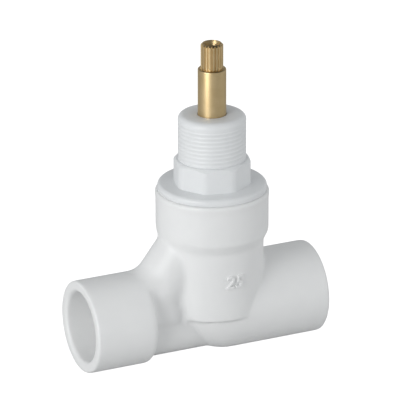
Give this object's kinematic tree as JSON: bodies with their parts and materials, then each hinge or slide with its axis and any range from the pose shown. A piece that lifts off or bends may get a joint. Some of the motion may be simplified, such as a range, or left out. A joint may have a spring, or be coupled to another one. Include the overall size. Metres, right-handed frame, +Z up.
{
  "type": "concealed stop valve",
  "caption": "Concealed stop valve: moulded body with two pipe sockets and a slanted passage, screwed-in bonnet and splined rising brass spindle.",
  "frame": {"origin": "where the pipe line crosses the spindle's axis", "axes": "+X out of the inlet socket, +Z up the spindle towards the handle"},
  "size_m": [0.0901, 0.0402, 0.1142],
  "materials": {
    "body_moulding": "semi-gloss moulded",
    "bonnet_moulding": "semi-gloss moulded, slightly clear",
    "brass": "turned",
    "seal_rubber": "matt",
    "slip_plastic": "smooth",
    "clip_steel": "drawn wire"
  },
  "bodies": {
    "fixed_body": {"body": "body_moulding", "bonnet": "bonnet_moulding", "bonnet_seal": "seal_rubber", "thread_bush": "brass"},
    "washer_group": {"washer_carrier": "brass", "carrier_clip": "clip_steel", "seat_washer": "seal_rubber", "washer_plate": "brass", "washer_screw": "brass"},
    "spindle_group": {"spindle": "brass", "spindle_ring_upper": "seal_rubber", "spindle_ring_lower": "seal_rubber", "slip_washer": "slip_plastic"}
  },
  "joints": [
    {"name": "spindle_lift", "type": "slide", "parent": "fixed_body", "child": "washer_group", "axis": [0, 0, 1], "range_m": [0, 0.006]},
    {"name": "spindle_turn", "type": "hinge", "parent": "washer_group", "child": "spindle_group", "pos_m": [0, 0, 0.06], "axis": [0, 0, 1], "range_deg": [0, 540]}
  ],
  "couplings": [
    {"joint": "spindle_turn", "follows": "spindle_lift", "rad_per_m": 1570.8}
  ]
}
